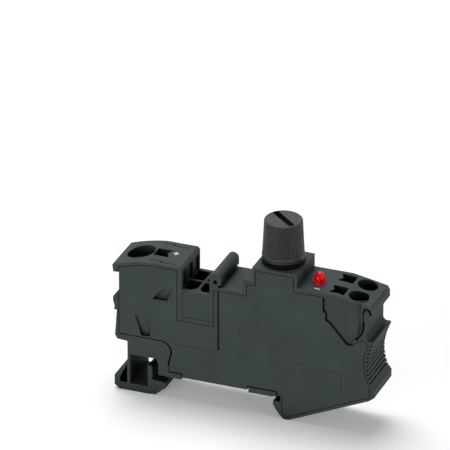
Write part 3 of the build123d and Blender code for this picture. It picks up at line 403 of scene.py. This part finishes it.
spigot_root = 0.00366
spigot_crest = 0.00390
spigot_low = 0.03135
helix(
    "cap_thread", spigot_root, spigot_crest, spigot_low, 3.9, 0.0,
    "cap", cap_black,
)

# Dull black ring on the raised seat, and below it a nickel-plated brass sleeve with
# an inner thread, which carries the current from the cap's cup to the output bar.
# painted shade: the ring is black, and its colour is taken to near-black with little shine so that
# it also stands in for the shadow under the cap's rim
black_ring_and_shadow = moulding(
    "black_ring_and_shadow", (0.0015, 0.0015, 0.0015), (0.003, 0.003, 0.003), 0.7, 0.00010,
    14000.0, 0.000004, shine=0.1,
)
dress("socket_collar", black_ring_and_shadow)

metal_face = bpy.data.node_groups.new("plated_face", "ShaderNodeTree")
group_socket(metal_face, "Colour", "INPUT", "NodeSocketColor", (0.8, 0.8, 0.8, 1.0))
group_socket(metal_face, "Streak Scale", "INPUT", "NodeSocketVector", (900.0, 900.0, 9000.0))
group_socket(metal_face, "Roughness", "INPUT", "NodeSocketFloat", 0.3)
group_socket(metal_face, "Colour", "OUTPUT", "NodeSocketColor")
group_socket(metal_face, "Roughness", "OUTPUT", "NodeSocketFloat")
group_socket(metal_face, "Normal", "OUTPUT", "NodeSocketVector")
metal_in = metal_face.nodes.new("NodeGroupInput")
metal_out = metal_face.nodes.new("NodeGroupOutput")
metal_place = metal_face.nodes.new("ShaderNodeTexCoord")
metal_stretch = metal_face.nodes.new("ShaderNodeVectorMath")
metal_stretch.operation = "MULTIPLY"
metal_face.links.new(metal_place.outputs["Object"], metal_stretch.inputs[0])
metal_face.links.new(metal_in.outputs["Streak Scale"], metal_stretch.inputs[1])
streak = metal_face.nodes.new("ShaderNodeTexNoise")
streak.inputs["Scale"].default_value = 1.0
streak.inputs["Detail"].default_value = 3.0
metal_face.links.new(metal_stretch.outputs[0], streak.inputs["Vector"])
streak_shade = metal_face.nodes.new("ShaderNodeMapRange")
streak_shade.inputs["To Min"].default_value = 0.82
streak_shade.inputs["To Max"].default_value = 1.05
metal_face.links.new(streak.outputs["Fac"], streak_shade.inputs["Value"])
metal_colour = metal_face.nodes.new("ShaderNodeVectorMath")
metal_colour.operation = "SCALE"
metal_face.links.new(metal_in.outputs["Colour"], metal_colour.inputs[0])
metal_face.links.new(streak_shade.outputs["Result"], metal_colour.inputs["Scale"])
metal_face.links.new(metal_colour.outputs[0], metal_out.inputs["Colour"])
streak_rough = metal_face.nodes.new("ShaderNodeMapRange")
streak_rough.inputs["To Min"].default_value = -0.08
streak_rough.inputs["To Max"].default_value = 0.12
metal_face.links.new(streak.outputs["Fac"], streak_rough.inputs["Value"])
metal_rough = metal_face.nodes.new("ShaderNodeMath")
metal_rough.operation = "ADD"
metal_face.links.new(metal_in.outputs["Roughness"], metal_rough.inputs[0])
metal_face.links.new(streak_rough.outputs["Result"], metal_rough.inputs[1])
metal_face.links.new(metal_rough.outputs[0], metal_out.inputs["Roughness"])
streak_bump = metal_face.nodes.new("ShaderNodeBump")
streak_bump.inputs["Distance"].default_value = 0.000006
metal_face.links.new(streak.outputs["Fac"], streak_bump.inputs["Height"])
metal_face.links.new(streak_bump.outputs["Normal"], metal_out.inputs["Normal"])


def plated(name, colour, roughness, streaks):
    """Plated or rolled metal, with its streaks' scale in three directions."""
    metal = bpy.data.materials.new(name)
    metal.use_nodes = True
    tree = metal.node_tree
    surface = tree.nodes["Principled BSDF"]
    surface.inputs["Metallic"].default_value = 1.0
    face = tree.nodes.new("ShaderNodeGroup")
    face.node_tree = metal_face
    face.inputs["Colour"].default_value = (*colour, 1.0)
    face.inputs["Roughness"].default_value = roughness
    face.inputs["Streak Scale"].default_value = streaks
    tree.links.new(face.outputs["Colour"], surface.inputs["Base Color"])
    tree.links.new(face.outputs["Roughness"], surface.inputs["Roughness"])
    tree.links.new(face.outputs["Normal"], surface.inputs["Normal"])
    return metal


nickel = plated("nickel_plate", (0.72, 0.70, 0.65), 0.24, (900.0, 900.0, 7000.0))
dress("socket_sleeve", nickel)
sleeve_root = 0.00403
sleeve_crest = 0.00380
sleeve_low = 0.0289
sleeve_start = -0.838
helix(
    "socket_thread", sleeve_root, sleeve_crest, sleeve_low, 5.0, sleeve_start,
    "block", nickel,
)

# Standard glass fuse, 5 mm by 20 mm: a tube with nickel-plated end caps and a fine
# wire soldered between them. It sits in a spring cup in the cap.
dress("cap_contact", nickel)
end_plate = plated("fuse_end_plate", (0.78, 0.77, 0.74), 0.18, (1200.0, 1200.0, 5000.0))
dress("fuse_end_upper", end_plate)
dress("fuse_end_lower", end_plate)
fine_wire = plated("fuse_wire_tin", (0.75, 0.74, 0.70), 0.3, (4000.0, 4000.0, 1500.0))
dress("fuse_wire", fine_wire)

tube_glass = bpy.data.materials.new("tube_glass")
tube_glass.use_nodes = True
tube_tree = tube_glass.node_tree
tube_surface = tube_tree.nodes["Principled BSDF"]
tube_surface.inputs["Transmission Weight"].default_value = 1.0
tube_surface.inputs["IOR"].default_value = 1.47
tube_place = tube_tree.nodes.new("ShaderNodeTexCoord")
tube_noise = tube_tree.nodes.new("ShaderNodeTexNoise")
tube_noise.inputs["Scale"].default_value = 500.0
tube_tree.links.new(tube_place.outputs["Object"], tube_noise.inputs["Vector"])
tube_rough = tube_tree.nodes.new("ShaderNodeMapRange")
tube_rough.inputs["To Min"].default_value = 0.01
tube_rough.inputs["To Max"].default_value = 0.06
tube_tree.links.new(tube_noise.outputs["Fac"], tube_rough.inputs["Value"])
tube_tree.links.new(tube_rough.outputs["Result"], tube_surface.inputs["Roughness"])
tube_tint = tube_tree.nodes.new("ShaderNodeMix")
tube_tint.data_type = "RGBA"
tube_tint.inputs["A"].default_value = (0.93, 0.97, 0.95, 1.0)
tube_tint.inputs["B"].default_value = (0.98, 1.0, 0.99, 1.0)
tube_tree.links.new(tube_noise.outputs["Fac"], tube_tint.inputs["Factor"])
tube_tree.links.new(tube_tint.outputs["Result"], tube_surface.inputs["Base Color"])
dress("fuse_tube", tube_glass)

# Tin-plated copper, stamped and folded: the bar from the large clamp to the fuse's
# foot, the bar from the sleeve to the small clamps, the bridge forks and the contact.
tin = plated("tin_plate", (0.74, 0.73, 0.70), 0.34, (500.0, 4500.0, 4500.0))
for tinned in ("input_bar", "output_bar", "base_contact", "bridge_fork_left", "bridge_fork_right"):
    dress(tinned, tin)
rivet_plate = plated("rivet_plate", (0.72, 0.70, 0.64), 0.22, (2500.0, 2500.0, 2500.0))
dress("contact_rivet", rivet_plate)

# Folded strips of spring steel in stamped steel cages, one large and two small. The
# spring's free end presses the wire on the bar's leg.
spring_strip = plated("spring_strip", (0.55, 0.56, 0.57), 0.27, (3500.0, 400.0, 900.0))
cage_plate = plated("cage_plate", (0.50, 0.51, 0.52), 0.38, (700.0, 3500.0, 3500.0))
for clamp in ("left", "front", "rear"):
    dress("clamp_spring_" + clamp, spring_strip)
    dress("clamp_cage_" + clamp, cage_plate)

# Red lamp with a clear dyed lens that pokes through the deck, soldered with two leads
# to a small laminate board with its series resistor.
lens_red = bpy.data.materials.new("lens_red")
lens_red.use_nodes = True
lens_tree = lens_red.node_tree
lens_surface = lens_tree.nodes["Principled BSDF"]
lens_surface.inputs["IOR"].default_value = 1.45
lens_surface.inputs["Specular IOR Level"].default_value = 0.16
# painted glow: the lens gives off a faint red light of its own, which brightens its colour
lens_surface.inputs["Emission Strength"].default_value = 0.3
lens_place = lens_tree.nodes.new("ShaderNodeTexCoord")

# painted light: upright streaks make the dye lighter and darker and brighten the painted glow, for
# the light breaking up inside the dome
lens_stretch = lens_tree.nodes.new("ShaderNodeMapping")
lens_stretch.inputs["Location"].default_value = (-0.0266, 0.0015, -0.0345)
lens_stretch.inputs["Scale"].default_value = (1.0, 1.0, 0.4)
lens_tree.links.new(lens_place.outputs["Object"], lens_stretch.inputs["Vector"])
lens_cloud = lens_tree.nodes.new("ShaderNodeTexNoise")
lens_cloud.inputs["Scale"].default_value = 1100.0
lens_cloud.inputs["Detail"].default_value = 1.0
lens_tree.links.new(lens_stretch.outputs["Vector"], lens_cloud.inputs["Vector"])
lens_streak = lens_tree.nodes.new("ShaderNodeMapRange")
lens_streak.inputs["From Min"].default_value = 0.35
lens_streak.inputs["From Max"].default_value = 0.65
lens_tree.links.new(lens_cloud.outputs["Fac"], lens_streak.inputs["Value"])
lens_dye_with_painted_streaks = lens_tree.nodes.new("ShaderNodeMix")
lens_dye_with_painted_streaks.data_type = "RGBA"
lens_dye_with_painted_streaks.inputs["A"].default_value = (0.16, 0.0, 0.001, 1.0)
lens_dye_with_painted_streaks.inputs["B"].default_value = (0.68, 0.002, 0.003, 1.0)
lens_tree.links.new(lens_streak.outputs["Result"], lens_dye_with_painted_streaks.inputs["Factor"])
lens_tree.links.new(lens_dye_with_painted_streaks.outputs["Result"], lens_surface.inputs["Base Color"])

# painted highlight: the painted glow is warmer and brighter in a core near the dome's top, where
# the dome gathers the light
painted_core_low = 0.0348
painted_core_high = 0.0362
lens_parts = lens_tree.nodes.new("ShaderNodeSeparateXYZ")
lens_tree.links.new(lens_place.outputs["Object"], lens_parts.inputs[0])
painted_core_band = lens_tree.nodes.new("ShaderNodeMapRange")
painted_core_band.inputs["From Min"].default_value = painted_core_low
painted_core_band.inputs["From Max"].default_value = painted_core_high
lens_tree.links.new(lens_parts.outputs["Z"], painted_core_band.inputs["Value"])
painted_core_glow = lens_tree.nodes.new("ShaderNodeMath")
painted_core_glow.operation = "MULTIPLY"
lens_tree.links.new(painted_core_band.outputs["Result"], painted_core_glow.inputs[0])
lens_tree.links.new(lens_streak.outputs["Result"], painted_core_glow.inputs[1])
painted_glow_colour = lens_tree.nodes.new("ShaderNodeMix")
painted_glow_colour.data_type = "RGBA"
painted_glow_colour.inputs["A"].default_value = (0.55, 0.0, 0.0, 1.0)
painted_glow_colour.inputs["B"].default_value = (0.85, 0.03, 0.01, 1.0)
lens_tree.links.new(painted_core_glow.outputs[0], painted_glow_colour.inputs["Factor"])
lens_tree.links.new(painted_glow_colour.outputs["Result"], lens_surface.inputs["Emission Color"])
lens_rough = lens_tree.nodes.new("ShaderNodeMapRange")
lens_rough.inputs["To Min"].default_value = 0.04
lens_rough.inputs["To Max"].default_value = 0.10
lens_tree.links.new(lens_cloud.outputs["Fac"], lens_rough.inputs["Value"])
lens_tree.links.new(lens_rough.outputs["Result"], lens_surface.inputs["Roughness"])

# the lens itself: an egg-shaped dome on a short stem, with the foot flange under the deck
lens_low, lens_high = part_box("led_lens")
lens_axis = Vector(((lens_low[0] + lens_high[0]) / 2, (lens_low[1] + lens_high[1]) / 2, 0.0))
lens_radius = 0.0015
flange_radius = (lens_high[0] - lens_low[0]) / 2
flange_height = 0.0008
flange_top = lens_low[2] + flange_height
dome_height = 0.0020
dome_middle = lens_high[2] - dome_height
lens_shape = bmesh.new()
bmesh.ops.create_uvsphere(
    lens_shape, u_segments=64, v_segments=32, radius=lens_radius,
    matrix=Matrix.Translation(lens_axis + Vector((0.0, 0.0, dome_middle)))
    @ Matrix.Diagonal((1.0, 1.0, dome_height / lens_radius, 1.0)),
)
bmesh.ops.bisect_plane(
    lens_shape, geom=lens_shape.verts[:] + lens_shape.edges[:] + lens_shape.faces[:], dist=1e-6,
    plane_co=(0.0, 0.0, dome_middle), plane_no=(0.0, 0.0, 1.0), clear_inner=True,
)


def extend_rim(shape, drop, grow):
    """Extrudes a shape's open rim downwards or outwards and returns the new edges."""
    rim = [e for e in shape.edges if e.is_boundary]
    added = bmesh.ops.extrude_edge_only(shape, edges=rim)["geom"]
    moved = [v for v in added if isinstance(v, bmesh.types.BMVert)]
    bmesh.ops.translate(shape, verts=moved, vec=(0.0, 0.0, -drop))
    bmesh.ops.scale(shape, verts=moved, vec=(grow, grow, 1.0), space=Matrix.Translation(-lens_axis))
    return [e for e in added if isinstance(e, bmesh.types.BMEdge)]


extend_rim(lens_shape, dome_middle - flange_top, 1.0)
extend_rim(lens_shape, 0.0, flange_radius / lens_radius)
foot_rim = extend_rim(lens_shape, flange_top - lens_low[2], 1.0)
bmesh.ops.edgeloop_fill(lens_shape, edges=[e for e in foot_rim if e.is_boundary])
bmesh.ops.recalc_face_normals(lens_shape, faces=lens_shape.faces[:])
for face in lens_shape.faces:
    face.smooth = face.calc_center_median().z > flange_top + 1e-6
lens_mesh = bpy.data.meshes.new("red_lens")
lens_shape.to_mesh(lens_mesh)
lens_shape.free()
red_lens = bpy.data.objects.new("red_lens", lens_mesh)
bpy.context.scene.collection.objects.link(red_lens)
lens_mesh.materials.append(lens_red)
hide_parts("led_lens")
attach(red_lens, "block")

laminate = moulding(
    "board_laminate", (0.02, 0.11, 0.05), (0.28, 0.24, 0.12), 0.35, 0.00005,
    4000.0, 0.000006,
)
dress("led_board", laminate)
dress("led_leads", fine_wire)
resistor_lacquer = moulding(
    "resistor_lacquer", (0.18, 0.30, 0.38), (0.3, 0.4, 0.45), 0.3, 0.00005,
    6000.0, 0.000006,
)
dress("led_resistor", resistor_lacquer)
